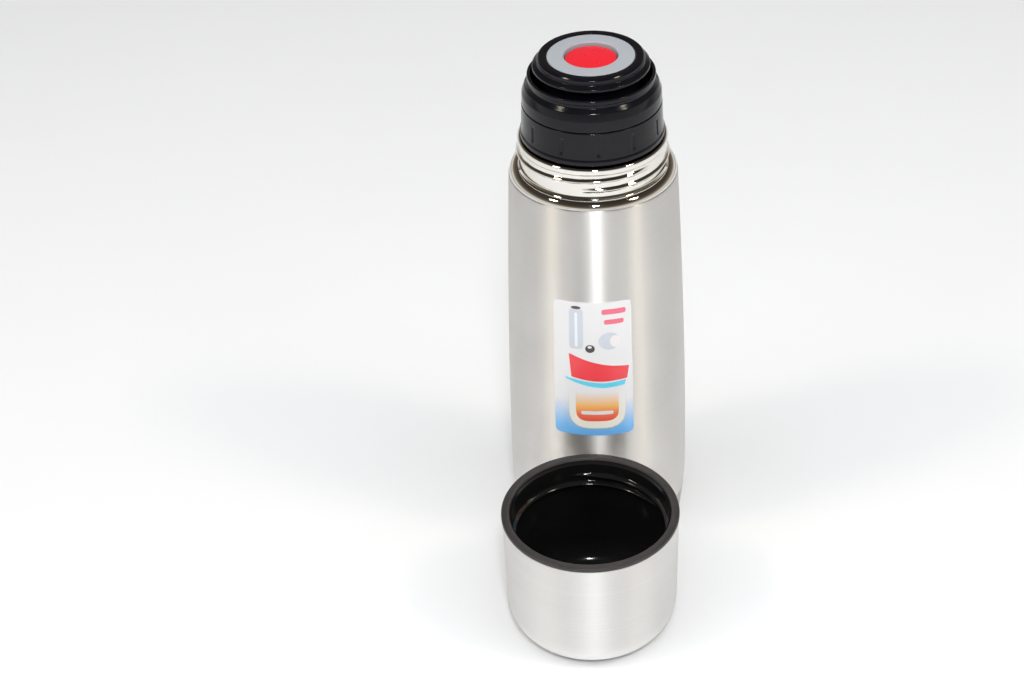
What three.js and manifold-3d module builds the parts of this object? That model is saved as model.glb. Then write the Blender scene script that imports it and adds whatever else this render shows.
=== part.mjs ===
// A small steel vacuum flask with a push-button stopper, and its drinking cup standing beside it.
// Millimetres, +Z up. The origin is the middle of the footprint of flask and cup, on the table.
import * as THREE from 'three';
import { mergeVertices } from 'three/addons/utils/BufferGeometryUtils.js';
import Module from 'manifold-3d';

const wasm = await Module();
wasm.setup();

// ---------------------------------------------------------------- facets
const ROUND = 32;         // sides of the large turned pieces
const MEDIUM = 24;        // sides of the pieces inside the stopper
const SMALL = 16;         // sides of rods, screws and capsules
const RIDGE_STEPS = 32;   // steps in one turn of a thread, in line with the wall's sides
const COIL_STEPS = 12;    // steps in one turn of a spring
const WIRE_SEGMENTS = 3;  // pieces of each half of a spring's round wire
const BEAD_SIDES = 8;     // sides of the seal's round bead
const CORNER_STEPS = 3;   // steps in a tight rounded corner
const CURVE_STEPS = 4;    // steps in a large rounded corner
const BELLY_STEPS = 4;    // steps up the short rounded part of the body
const TAPER_STEPS = 6;    // steps up the long tapered part of the body

// ---------------------------------------------------------------- clearances
const SEAM = 0.3;         // between pieces that are welded, glued or pressed together
const RUNNING = 0.5;      // between threads, and round what slides
const SKIN_GAP = 0.15;    // under the sticker

// ---------------------------------------------------------------- flask body
const TUBE_TOP = 149.3;
const BELLY_RADIUS = 33;
const BELLY_HEIGHT = 28;
const FOOT_RADIUS = 31.1;
const FOOT_ROUND = 2.2;
const TAPER_POWER = 1.6;       // how late the tube narrows on its way up
const STEEL = 0.6;             // wall of the pressed steel pieces
const VACUUM_GAP = 2.4;        // between outer shell and inner bottle
const BASE_HEIGHT = 11;        // weld between the pressed base and the tube
const LAP = 2.2;               // overlap of one pressing inside the next
const RING_INNER = 24;         // resting ring, inner radius
const RECESS = 3.4;            // height of the recess inside the ring
const BASE_STEEL = 0.8;
const COVER_THICKNESS = 0.8;
const COVER_HEIGHT = 0.8;
const EVACUATION_HOLE = 1.6;
const BEAD_RADIUS = 3;
const BEAD_THICKNESS = 0.9;
const GETTER_RADIUS = 4;
const GETTER_THICKNESS = 1.4;
const GETTER_OFFSET = 13;

// ---------------------------------------------------------------- inner bottle
const MOUTH_RADIUS = 22.4;     // bore of the neck
const BOTTLE_FLOOR = 7;
const BOTTLE_CORNER = 5;
const BOTTLE_SEAM = 16;
const THROAT_STEP = 2;         // how much narrower the gasket's seat is than the mouth
const THROAT_DEPTH = 23.5;     // lip to the foot of the throat
const SEAT_RISE = 1.5;         // cylindrical part of the throat
const CLOSING_HEIGHT = 10;     // height over which the bottle closes in to its throat
const FOIL = 0.3;
const FOIL_MARGIN = 4;         // from the foil to the bottle's seam and shoulder

// ---------------------------------------------------------------- neck
const NECK_HEIGHT = 11.2;      // polished shoulder to lip
const NECK_WALL = 0.8;
const NECK_GAP = 1.8;          // between the inner bottle and the neck's wall
const NECK_FILLET = 0.7;
const SHOULDER_RISE = 2.7;     // height of the polished shoulder
const SHOULDER_WIDTH = 3.1;
const SHOULDER_INSET = 0.2;    // of the shoulder from the tube's edge
const LIP_BULGE = 0.25;
const LIP_DEPTH = 2.4;         // the bulge rolled into the lip
const LIP_THICKNESS = 0.5;

// ---------------------------------------------------------------- threads
const STOPPER_PITCH = 4;
const STOPPER_RIDGE = 1;       // height of the ridges between stopper and bottle
const STOPPER_RIDGE_ROOT = 1.7;
const STOPPER_RIDGE_CREST = 0.8;
const STOPPER_TURNS = 1.5;
const STOPPER_THREAD_DEPTH = 15; // lip to the start of the bottle's ridge
const CUP_PITCH = 3.6;
const NECK_RIDGE = 0.9;
const CUP_RIDGE = 1.4;
const CUP_RIDGE_ROOT = 2;
const CUP_RIDGE_CREST = 0.9;
const CUP_THREAD_TURNS = 1.25;
const NECK_THREAD_RISE = 2.9;  // shoulder to the start of the neck's ridge
const CUP_THREAD_RISE = 1.2;   // foot of the cup's thread zone to the start of its ridge
const NECK_THREAD_ANGLE = -106; // degrees round the axis from +X
const CUP_THREAD_ANGLE = 20;
const RUN_OUT = 30;            // degrees over which a ridge fades at each end
const RIDGE_SINK = 0.3;        // how deep a ridge is rooted in its wall

// ---------------------------------------------------------------- sticker
const LABEL_BOTTOM = 56.6;
const LABEL_HEIGHT = 56.8;
const LABEL_LEFT = -28;        // degrees round the body from the front
const LABEL_RIGHT = 23;
const LABEL_THICKNESS = 0.25;
const LABEL_COLUMNS = 8;

// ---------------------------------------------------------------- stopper shell
const LIP_CLEARANCE = 0.7;     // between lip and flange
const FLANGE_INSET = 0.7;      // of the flange from the neck's outside
const FLANGE_HEIGHT = 1.8;
const FLANGE_STEP = 0.4;       // of the band from the flange
const BAND_TAPER = 0.5;
const BAND_HEIGHT = 11.9;
const BAND_WALL = 1.9;
const PLUG_WALL = 2;
const TIP_DROP = 0.4;          // how far the plug reaches below the throat
const STUB_WALL = 2.4;
const STUB_LIP = 1;
const STUB_LIP_HEIGHT = 1.6;
const STUB_CLEARANCE = 1.5;    // between the stub's lip and the throat
const GRIP_COUNT = 12;
const GRIP_WIDTH = 1.1;
const GRIP_DEPTH = 0.4;
const GRIP_RISE = 3.4;
const GRIP_HEIGHT = 5.8;
const GRIP_PHASE = 0.15;       // first notch, in spacings round from the front
const GASKET_HEIGHT = 4.1;
const LEDGE_THICKNESS = 2.3;
const WEB_FLANGE = 1.5;        // thickness of the housing's flange and spokes
const ORING_HEIGHT = 1.6;
const ORING_WIDTH = 1.3;

const COLLAR_STEP = 0.1;       // of the collar from the band
const COLLAR_WALL_HEIGHT = 3.9;
const COLLAR_TAPER = 0.15;
const COLLAR_SHOULDER = 2.4;   // how far the collar's shoulder turns in
const COLLAR_HEIGHT = 8.4;     // band to waist
const COLLAR_TURN = 0.6;       // how far below the waist the shoulder turns in
const COLLAR_WALL = 1.3;
const RIM_OVERHANG = 0.45;
const RIM_RISE = 2.5;
const RIM_HEIGHT = 1.4;

const DISC_RISE = 6.1;         // rim to the top of the disc
const DISC_INSET = 1.85;       // of the disc's lower step from the rim
const DISC_LEDGE = 1.75;       // width of that step
const DISC_LAND = 3;           // width of the upper step, round the grey ring
const DISC_STEP_DEPTH = 2.1;
const DISC_EDGE_DEPTH = 3.6;
const DISC_EDGE_HEIGHT = 0.5;
const DISC_THICKNESS = 4.9;
const DISC_ROUND = 0.7;
const DISC_SKIRT_WALL = 1.2;
const DISC_SKIRT_DEPTH = 17.7;

const RING_FACE = 5.7;         // width of the grey ring
const RING_DROP = 0.1;         // below the disc
const RING_THICKNESS = 1.8;
const RING_SKIRT = 5;
const RING_SKIRT_WALL = 1.2;

const BUTTON_DROP = 1.1;       // below the ring
const BUTTON_THICKNESS = 2.2;
const BUTTON_DEPTH = 10.6;
const BUTTON_WALL = 1.25;
const BOSS_WALL = 1;
const BOSS_DEPTH = 7.9;

// ---------------------------------------------------------------- stopper mechanism
const HOUSING_GAP = 0.7;       // between the housing and the ring's skirt
const HOUSING_WALL = 1.4;
const HOUSING_DROP = 8.2;      // disc's top to the housing's top
const HOUSING_REACH = 6.2;     // how far the housing hangs below the flange
const HOUSING_FLOOR = 1.5;
const SPOKE_COUNT = 4;
const SPOKE_WIDTH = 2.4;
const SPOKE_SINK = 1;          // how far a spoke runs into the flange
const LATCH_WIDTH = 1;
const LATCH_THICKNESS = 1;

const STEM_RADIUS = 2;
const STEM_BORE = 1.3;
const STEM_BORE_DEPTH = 7.4;
const SLIDE_FIT = 0.3;         // round the stem
const VALVE_LAP = 1.7;         // how far the valve's seal covers the plug's edge
const VALVE_RIM = 0.4;         // how far the seal stands past the disc
const VALVE_SEAL = 1.4;
const VALVE_DISC = 1.2;
const SCREW_RADIUS = 3.9;
const SCREW_HEAD = 1.7;
const SPRING_WIRE = 0.5;       // radius
const SPRING_GAP = 1.4;        // between the button's boss and its spring
const SPRING_TURNS = 6;
const RING_SPRING_WIRE = 0.35;
const RING_SPRING_TURNS = 3;

// ---------------------------------------------------------------- cup
const CUP_BEARING = -93;       // degrees round the flask, where the cup stands
const CUP_SPACE = 0.7;         // between cup and flask
const CUP_HEADROOM = 5.7;      // over the stopper, when the cup is screwed on
const CUP_LINER = 1.7;
const CUP_FIT = 1.1;           // between the neck's ridge and the cup's wall
const CUP_LEAD = 0.6;          // how much wider the mouth is than the threaded wall
const CUP_RIM_WIDTH = 3.1;
const CUP_RIM_HEIGHT = 1.5;
const CUP_RIM_ROUND = 0.7;
const CUP_RIM_LAP = 0.3;       // of the rim over the shell
const CUP_FLARE = 0.5;
const CUP_BOTTOM_TURN = 9;     // width of the bottom curve
const CUP_CURVE = 12.5;        // height of the bottom curve
const CUP_THREAD_ZONE = 11;    // depth of the thicker wall below the rim

// ---------------------------------------------------------------- radii, from the mouth outwards
const THROAT_RADIUS = MOUTH_RADIUS - THROAT_STEP;
const NECK_INNER = MOUTH_RADIUS + STEEL + NECK_GAP;
const NECK_RADIUS = NECK_INNER + NECK_WALL;
const NECK_BASE_RADIUS = NECK_RADIUS + NECK_FILLET;
const TUBE_TOP_RADIUS = NECK_BASE_RADIUS + SHOULDER_WIDTH;
const SHOULDER_RADIUS = TUBE_TOP_RADIUS - SHOULDER_INSET;
const BOTTLE_INSET = STEEL + VACUUM_GAP;

const CUP_THREAD_WALL = NECK_RADIUS + NECK_RIDGE + CUP_FIT;
const CUP_MOUTH = CUP_THREAD_WALL + CUP_LEAD;
const CUP_RADIUS = CUP_MOUTH + CUP_RIM_WIDTH;
const CUP_SHELL_TOP = CUP_RADIUS - CUP_RIM_LAP;
const CUP_SHELL_SIDE = CUP_SHELL_TOP - CUP_FLARE;
const CUP_FLAT = CUP_SHELL_SIDE - CUP_BOTTOM_TURN;

// ---------------------------------------------------------------- radii of the stopper, going inwards
const FLANGE_RADIUS = NECK_RADIUS - FLANGE_INSET;
const BAND_BOTTOM_RADIUS = FLANGE_RADIUS - FLANGE_STEP;
const BAND_TOP_RADIUS = BAND_BOTTOM_RADIUS - BAND_TAPER;
const BAND_INNER = BAND_BOTTOM_RADIUS - BAND_WALL - SEAM;
const SLEEVE_RADIUS = BAND_INNER - SEAM;
const COLLAR_RADIUS = BAND_TOP_RADIUS - COLLAR_STEP;
const COLLAR_TOP_RADIUS = COLLAR_RADIUS - COLLAR_TAPER;
const COLLAR_WAIST_RADIUS = COLLAR_TOP_RADIUS - COLLAR_SHOULDER;
const RIM_RADIUS = COLLAR_WAIST_RADIUS + RIM_OVERHANG;
const DISC_RADIUS = RIM_RADIUS - DISC_INSET;
const DISC_RIDGE_RADIUS = DISC_RADIUS - DISC_LEDGE;
const RING_BORE = DISC_RIDGE_RADIUS - DISC_LAND;
const RING_RADIUS = RING_BORE - SEAM;
const HOUSING_RADIUS = RING_RADIUS - RING_SKIRT_WALL - HOUSING_GAP;
const HOUSING_BORE = HOUSING_RADIUS - HOUSING_WALL;
const BUTTON_BORE = RING_RADIUS - RING_FACE;
const BUTTON_RADIUS = BUTTON_BORE - RUNNING;
const STEM_HOLE = STEM_RADIUS + SLIDE_FIT;
const BOSS_RADIUS = STEM_HOLE + BOSS_WALL;
const SPRING_RADIUS = BOSS_RADIUS + SPRING_GAP + SPRING_WIRE;
const PLUG_RADIUS = MOUTH_RADIUS - STOPPER_RIDGE - RUNNING;
const STUB_RADIUS = THROAT_RADIUS - STUB_CLEARANCE - STUB_LIP;
const PLUG_BORE = STUB_RADIUS - STUB_WALL;
const VALVE_RADIUS = PLUG_BORE + VALVE_LAP;

// ---------------------------------------------------------------- heights
const SHOULDER = TUBE_TOP + SEAM;
const NECK_BASE = SHOULDER + SHOULDER_RISE;
const LIP_HEIGHT = NECK_BASE + NECK_HEIGHT;
const THROAT_HEIGHT = LIP_HEIGHT - THROAT_DEPTH;
const THROAT_TOP = THROAT_HEIGHT + SEAT_RISE;
const BOTTLE_SHOULDER = THROAT_HEIGHT - CLOSING_HEIGHT;

const PLUG_TIP = THROAT_HEIGHT - TIP_DROP;
const GASKET_BOTTOM = PLUG_TIP + STUB_LIP_HEIGHT + SEAM;
const GASKET_TOP = GASKET_BOTTOM + GASKET_HEIGHT;
const STOPPER_BASE = LIP_HEIGHT + LIP_CLEARANCE;
const LEDGE_TOP = STOPPER_BASE + LEDGE_THICKNESS;
const WEB_BOTTOM = LEDGE_TOP + SEAM;
const ORING_BOTTOM = WEB_BOTTOM + WEB_FLANGE + SEAM;
const SLEEVE_BOTTOM = ORING_BOTTOM + ORING_HEIGHT + SEAM;
const BAND_TOP = STOPPER_BASE + BAND_HEIGHT;
const COLLAR_WALL_TOP = BAND_TOP + COLLAR_WALL_HEIGHT;
const COLLAR_WAIST = BAND_TOP + COLLAR_HEIGHT;
const RIM_TOP = COLLAR_WAIST + RIM_RISE;
const DISC_TOP = RIM_TOP + DISC_RISE;
const DISC_EDGE = DISC_TOP - DISC_EDGE_DEPTH;
const RING_TOP = DISC_TOP - RING_DROP;
const RING_SHELF = RING_TOP - RING_THICKNESS;
const BUTTON_TOP = RING_TOP - BUTTON_DROP;
const BUTTON_UNDERSIDE = BUTTON_TOP - BUTTON_THICKNESS;
const BUTTON_BOTTOM = BUTTON_TOP - BUTTON_DEPTH;
const BOSS_BOTTOM = BUTTON_TOP - BOSS_DEPTH;
const HOUSING_TOP = DISC_TOP - HOUSING_DROP;
const HOUSING_BOTTOM = STOPPER_BASE - HOUSING_REACH;
const HOUSING_SHELF = HOUSING_BOTTOM + HOUSING_FLOOR;
const DISC_SEAT = HOUSING_TOP + SEAM;
const SEAL_TOP = PLUG_TIP - SEAM;
const SEAL_BOTTOM = SEAL_TOP - VALVE_SEAL;
const VALVE_TOP = SEAL_BOTTOM - SEAM;
const VALVE_BOTTOM = VALVE_TOP - VALVE_DISC;
const STEM_BOTTOM = VALVE_BOTTOM + SLIDE_FIT;
const BORE_TOP = STEM_BOTTOM + STEM_BORE_DEPTH;

const CUP_LINER_GAP = STEEL + SEAM;
const CUP_FLOOR = CUP_LINER_GAP + CUP_LINER;
const CUP_HEIGHT = DISC_TOP - NECK_BASE + CUP_HEADROOM + CUP_FLOOR;
const CUP_RIM_BOTTOM = CUP_HEIGHT - CUP_RIM_HEIGHT;

// ---------------------------------------------------------------- places
const TAU = Math.PI * 2;
const radians = THREE.MathUtils.degToRad;
const CUP_DISTANCE = BELLY_RADIUS + CUP_RADIUS + CUP_SPACE;
const CUP_X = CUP_DISTANCE * Math.cos(radians(CUP_BEARING));
const CUP_Y = CUP_DISTANCE * Math.sin(radians(CUP_BEARING));

// ---------------------------------------------------------------- shapes
function point(radius, height) {
  return new THREE.Vector2(radius, height);
}

// The body's outside: a rounded belly low down, and a slow taper to the shoulder.
function curveRadius(height) {
  if (height < BELLY_HEIGHT) {
    const below = (BELLY_HEIGHT - height) / BELLY_HEIGHT;
    return BELLY_RADIUS - (BELLY_RADIUS - FOOT_RADIUS) * below ** 2;
  }
  const above = (height - BELLY_HEIGHT) / (TUBE_TOP - BELLY_HEIGHT);
  return BELLY_RADIUS - (BELLY_RADIUS - TUBE_TOP_RADIUS) * above ** TAPER_POWER;
}

// Every wall of the body bends at the same heights, so that the walls stay parallel.
function bendHeights() {
  const heights = [];
  for (let i = 0; i < BELLY_STEPS; i += 1) heights.push((BELLY_HEIGHT * i) / BELLY_STEPS);
  for (let i = 0; i <= TAPER_STEPS; i += 1) {
    heights.push(THREE.MathUtils.lerp(BELLY_HEIGHT, TUBE_TOP, i / TAPER_STEPS));
  }
  return heights;
}

const BENDS = bendHeights();

// Outer radius of the body, straight between its bends.
function bodyRadius(height) {
  const above = BENDS.findIndex((bend) => bend > height);
  const upper = above < 0 ? BENDS.length - 1 : above;
  const [low, high] = [BENDS[upper - 1], BENDS[upper]];
  return THREE.MathUtils.mapLinear(height, low, high, curveRadius(low), curveRadius(high));
}

function heightsBetween(from, to) {
  return [from, ...BENDS.filter((bend) => bend > from && bend < to), to];
}

// The body's outline moved inwards, from one height to another.
function wall(inset, from, to) {
  return heightsBetween(from, to).map((height) => point(bodyRadius(height) - inset, height));
}

// A quarter of an ellipse between two corners, bulging towards the given corner.
function quarter(from, to, bulge, steps) {
  const points = [];
  for (let i = 0; i <= steps; i += 1) {
    const turn = (i / steps) * (TAU / 4);
    const across = 1 - Math.cos(turn);
    const along = Math.sin(turn);
    points.push(point(
      from.x + (bulge.x - from.x) * along + (to.x - bulge.x) * across,
      from.y + (bulge.y - from.y) * along + (to.y - bulge.y) * across,
    ));
  }
  return points;
}

// A section turned round the Z axis. It runs anticlockwise, with the axis on its left.
function turned(section, sides = ROUND) {
  const last = section[section.length - 1];
  const onAxis = section[0].x === 0 && last.x === 0;
  const loop = onAxis ? section : [...section, section[0].clone()];
  const geometry = new THREE.LatheGeometry(loop, sides);
  geometry.rotateX(TAU / 4);
  return geometry;
}

function ringOf(inner, outer, bottom, top, sides) {
  return turned([point(inner, bottom), point(outer, bottom), point(outer, top), point(inner, top)], sides);
}

function toSolid(geometry) {
  const bare = geometry.clone();
  bare.deleteAttribute('normal');
  bare.deleteAttribute('uv');
  const merged = mergeVertices(bare, 1e-4);
  const corners = [];
  const index = merged.index.array;
  for (let i = 0; i < index.length; i += 3) {
    const [a, b, c] = [index[i], index[i + 1], index[i + 2]];
    if (a !== b && b !== c && c !== a) corners.push(a, b, c);
  }
  return new wasm.Manifold(new wasm.Mesh({
    numProp: 3,
    vertProperties: new Float32Array(merged.attributes.position.array),
    triVerts: new Uint32Array(corners),
  }));
}

function fromSolid(solid) {
  const { vertProperties, triVerts } = solid.getMesh();
  const geometry = new THREE.BufferGeometry();
  geometry.setAttribute('position', new THREE.BufferAttribute(new Float32Array(vertProperties), 3));
  geometry.setIndex(new THREE.BufferAttribute(new Uint32Array(triVerts), 1));
  geometry.computeVertexNormals();
  return geometry;
}

function joined(...geometries) {
  return fromSolid(geometries.map(toSolid).reduce((whole, piece) => whole.add(piece)));
}

function cut(geometry, ...tools) {
  return fromSolid(tools.map(toSolid).reduce((left, tool) => left.subtract(tool), toSolid(geometry)));
}

// A thread ridge: a straight bar bent round the axis, climbing, and fading at both ends.
// A negative height makes it stand inwards from its wall.
function threadRidge({ root, height, rootWidth, crestWidth, pitch, turns, start, angle }) {
  const foot = root - Math.sign(height) * RIDGE_SINK;
  const crest = root + height;
  const corners = [
    point(foot, -rootWidth / 2),
    point(crest, -crestWidth / 2),
    point(crest, crestWidth / 2),
    point(foot, rootWidth / 2),
  ];
  if (height < 0) corners.reverse();
  const bar = new THREE.ExtrudeGeometry(new THREE.Shape(corners), {
    depth: 1,
    steps: Math.round(turns * RIDGE_STEPS),
    bevelEnabled: false,
  });
  const fade = RUN_OUT / (360 * turns);
  const place = bar.attributes.position;
  for (let i = 0; i < place.count; i += 1) {
    const along = 1 - place.getZ(i);
    const full = Math.min(1, along / fade, (1 - along) / fade);
    const isCrest = Math.abs(place.getX(i) - crest) < 1e-4;
    const sunk = root - Math.sign(height) * RIDGE_SINK / 3;
    const radius = isCrest ? THREE.MathUtils.lerp(sunk, crest, full) : foot;
    const turn = radians(angle) + along * turns * TAU;
    const level = start + place.getY(i) + along * turns * pitch;
    place.setXYZ(i, radius * Math.cos(turn), radius * Math.sin(turn), level);
  }
  return bar;
}

class Helix extends THREE.Curve {
  constructor(radius, bottom, top, turns) {
    super();
    this.radius = radius;
    this.bottom = bottom;
    this.top = top;
    this.turns = turns;
  }

  getPoint(t, target = new THREE.Vector3()) {
    const turn = t * this.turns * TAU;
    const level = THREE.MathUtils.lerp(this.bottom, this.top, t);
    return target.set(this.radius * Math.cos(turn), this.radius * Math.sin(turn), level);
  }
}

// An open coil spring of round wire that fills the space from bottom to top.
function coil(radius, wire, bottom, top, turns) {
  const section = new THREE.Shape();
  section.absarc(0, 0, wire, 0, TAU);
  const path = new Helix(radius, bottom + wire, top - wire, turns);
  return new THREE.ExtrudeGeometry(section, {
    curveSegments: WIRE_SEGMENTS,
    steps: Math.round(turns * COIL_STEPS),
    extrudePath: path,
  });
}

// ---------------------------------------------------------------- materials
const MATERIALS = {
  brushed: { color: 0xcdc9c4, roughness: 0.32, metalness: 1 },
  polished: { color: 0xd8d6d0, roughness: 0.06, metalness: 1 },
  inside: { color: 0xb9b8b4, roughness: 0.4, metalness: 1 },
  foil: { color: 0xcfd0d2, roughness: 0.3, metalness: 1 },
  getter: { color: 0x6f7072, roughness: 0.6, metalness: 0.8 },
  black: { color: 0x0d0d10, roughness: 0.12, metalness: 0 },
  cupBlack: { color: 0x0b0b0c, roughness: 0.22, metalness: 0 },
  grey: { color: 0xaab0b4, roughness: 0.35, metalness: 0 },
  red: { color: 0xe5232f, roughness: 0.3, metalness: 0 },
  housing: { color: 0xd9d9d4, roughness: 0.45, metalness: 0 },
  silicone: { color: 0xe4e4de, roughness: 0.6, metalness: 0 },
  sticker: { color: 0xf4f4f2, roughness: 0.35, metalness: 0 },
};

const finishes = {};
for (const [name, values] of Object.entries(MATERIALS)) {
  finishes[name] = new THREE.MeshStandardMaterial(values);
}

function piece(name, geometry, finish) {
  const mesh = new THREE.Mesh(geometry, finishes[finish]);
  mesh.name = name;
  return mesh;
}

// ---------------------------------------------------------------- flask body
function outerShell() {
  const bottom = BASE_HEIGHT + SEAM;
  return turned([
    ...wall(0, bottom, TUBE_TOP - STEEL),
    point(TUBE_TOP_RADIUS - STEEL / 2, TUBE_TOP),
    ...wall(STEEL, bottom, TUBE_TOP).reverse(),
  ]);
}

function outerBase() {
  const lap = STEEL + SEAM;
  const top = BASE_HEIGHT + LAP;
  const heel = point(FOOT_RADIUS - FOOT_ROUND, 0);
  const side = point(bodyRadius(FOOT_ROUND), FOOT_ROUND);
  const inner = point(side.x - STEEL, FOOT_ROUND + BASE_STEEL);
  return turned([
    point(RING_INNER, 0),
    ...quarter(heel, side, point(side.x, 0), CORNER_STEPS),
    ...wall(0, FOOT_ROUND, BASE_HEIGHT).slice(1),
    point(bodyRadius(BASE_HEIGHT) - lap, BASE_HEIGHT),
    point(bodyRadius(top) - lap, top),
    point(bodyRadius(top) - lap - STEEL, top),
    point(bodyRadius(BASE_HEIGHT) - lap - STEEL, BASE_HEIGHT - STEEL),
    inner,
    point(heel.x, BASE_STEEL),
    point(RING_INNER + BASE_STEEL, BASE_STEEL),
    point(RING_INNER, RECESS + BASE_STEEL),
    point(EVACUATION_HOLE, RECESS + BASE_STEEL),
    point(EVACUATION_HOLE, RECESS),
    point(RING_INNER - BASE_STEEL, RECESS),
  ]);
}

function baseCover() {
  const radius = RING_INNER - BASE_STEEL - SEAM;
  return turned([
    point(0, COVER_HEIGHT),
    point(radius, COVER_HEIGHT),
    point(radius, COVER_HEIGHT + COVER_THICKNESS),
    point(0, COVER_HEIGHT + COVER_THICKNESS),
  ]);
}

function evacuationPlug() {
  const head = RECESS - SEAM;
  const shank = EVACUATION_HOLE - SEAM;
  return turned([
    point(0, head - BEAD_THICKNESS),
    point(BEAD_RADIUS, head - BEAD_THICKNESS),
    point(BEAD_RADIUS, head),
    point(shank, head),
    point(shank, RECESS + 2 * BASE_STEEL),
    point(0, RECESS + 2 * BASE_STEEL),
  ], SMALL);
}

function getterCapsule() {
  const middle = (RECESS + BASE_STEEL + BOTTLE_FLOOR) / 2;
  const geometry = new THREE.CylinderGeometry(GETTER_RADIUS, GETTER_RADIUS, GETTER_THICKNESS, SMALL);
  geometry.rotateX(TAU / 4);
  geometry.translate(GETTER_OFFSET, 0, middle);
  return geometry;
}

// ---------------------------------------------------------------- inner bottle
function innerBase() {
  const top = BOTTLE_SEAM - SEAM;
  const side = bodyRadius(BOTTLE_FLOOR + BOTTLE_CORNER) - BOTTLE_INSET;
  const corner = BOTTLE_CORNER - STEEL;
  const outer = quarter(
    point(side - BOTTLE_CORNER, BOTTLE_FLOOR),
    point(side, BOTTLE_FLOOR + BOTTLE_CORNER),
    point(side, BOTTLE_FLOOR),
    CORNER_STEPS,
  );
  const inner = quarter(
    point(side - STEEL - corner, BOTTLE_FLOOR + STEEL),
    point(side - STEEL, BOTTLE_FLOOR + BOTTLE_CORNER),
    point(side - STEEL, BOTTLE_FLOOR + STEEL),
    CORNER_STEPS,
  );
  return turned([
    point(0, BOTTLE_FLOOR),
    ...outer,
    point(bodyRadius(top) - BOTTLE_INSET, top),
    point(bodyRadius(top) - BOTTLE_INSET - STEEL, top),
    ...inner.reverse(),
    point(0, BOTTLE_FLOOR + STEEL),
  ]);
}

// One side of the bottle's wall, from the bottom seam to the mouth.
function bottleOutline(inset) {
  const offset = BOTTLE_INSET + STEEL - inset;
  const start = point(bodyRadius(BOTTLE_SHOULDER) - offset, BOTTLE_SHOULDER);
  const throat = point(THROAT_RADIUS + inset, THROAT_HEIGHT);
  return [
    ...wall(offset, BOTTLE_SEAM, BOTTLE_SHOULDER).slice(0, -1),
    ...quarter(start, throat, point(start.x, throat.y - inset), CURVE_STEPS),
    point(THROAT_RADIUS + inset, THROAT_TOP - inset / 2),
    point(MOUTH_RADIUS + inset, THROAT_TOP + THROAT_STEP - inset / 2),
    point(MOUTH_RADIUS + inset, LIP_HEIGHT - LIP_THICKNESS - SEAM),
  ];
}

function innerLiner() {
  const ridge = threadRidge({
    root: MOUTH_RADIUS,
    height: -STOPPER_RIDGE,
    rootWidth: STOPPER_RIDGE_ROOT,
    crestWidth: STOPPER_RIDGE_CREST,
    pitch: STOPPER_PITCH,
    turns: STOPPER_TURNS,
    start: LIP_HEIGHT - STOPPER_THREAD_DEPTH,
    angle: 0,
  });
  return joined(turned([...bottleOutline(STEEL), ...bottleOutline(0).reverse()]), ridge);
}

function radiationFoil() {
  const inner = BOTTLE_INSET - SEAM;
  const bottom = BOTTLE_SEAM + FOIL_MARGIN;
  const top = BOTTLE_SHOULDER - FOIL_MARGIN;
  return turned([...wall(inner - FOIL, bottom, top), ...wall(inner, bottom, top).reverse()]);
}

// ---------------------------------------------------------------- neck
function neckRing() {
  const skirt = TUBE_TOP_RADIUS - STEEL - SEAM;
  const bulge = NECK_RADIUS + LIP_BULGE;
  const shoulder = quarter(
    point(SHOULDER_RADIUS, SHOULDER),
    point(NECK_BASE_RADIUS, NECK_BASE),
    point(SHOULDER_RADIUS - SEAM, NECK_BASE),
    CORNER_STEPS,
  );
  const body = turned([
    point(skirt, TUBE_TOP - LAP),
    point(skirt, SHOULDER),
    ...shoulder,
    point(NECK_RADIUS, NECK_BASE + STEEL),
    point(NECK_RADIUS, LIP_HEIGHT - LIP_DEPTH),
    point(bulge, LIP_HEIGHT - LIP_DEPTH + LIP_THICKNESS),
    point(bulge, LIP_HEIGHT - LIP_THICKNESS),
    point(bulge - LIP_THICKNESS, LIP_HEIGHT),
    point(MOUTH_RADIUS + SEAM, LIP_HEIGHT),
    point(MOUTH_RADIUS + SEAM, LIP_HEIGHT - LIP_THICKNESS),
    point(NECK_INNER, LIP_HEIGHT - LIP_THICKNESS),
    point(NECK_INNER, NECK_BASE - STEEL),
    point(skirt - STEEL, SHOULDER - STEEL),
    point(skirt - STEEL, TUBE_TOP - LAP),
  ]);
  const ridge = threadRidge({
    root: NECK_RADIUS,
    height: NECK_RIDGE,
    rootWidth: CUP_RIDGE_ROOT,
    crestWidth: CUP_RIDGE_CREST,
    pitch: CUP_PITCH,
    turns: CUP_THREAD_TURNS,
    start: NECK_BASE + NECK_THREAD_RISE,
    angle: NECK_THREAD_ANGLE,
  });
  return joined(body, ridge);
}

// The sticker: a thin sheet bent round the front of the body.
function frontLabel() {
  const heights = heightsBetween(LABEL_BOTTOM, LABEL_BOTTOM + LABEL_HEIGHT);
  const rows = heights.length - 1;
  const sheet = new THREE.BoxGeometry(1, rows, LABEL_THICKNESS, LABEL_COLUMNS, rows);
  sheet.translate(0.5, rows / 2, LABEL_THICKNESS / 2);
  const place = sheet.attributes.position;
  for (let i = 0; i < place.count; i += 1) {
    const bearing = THREE.MathUtils.lerp(LABEL_LEFT, LABEL_RIGHT, place.getX(i)) - 90;
    const height = heights[Math.round(place.getY(i))];
    const radius = bodyRadius(height) + SKIN_GAP + place.getZ(i);
    const turn = radians(bearing);
    place.setXYZ(i, radius * Math.cos(turn), radius * Math.sin(turn), height);
  }
  return sheet;
}

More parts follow.
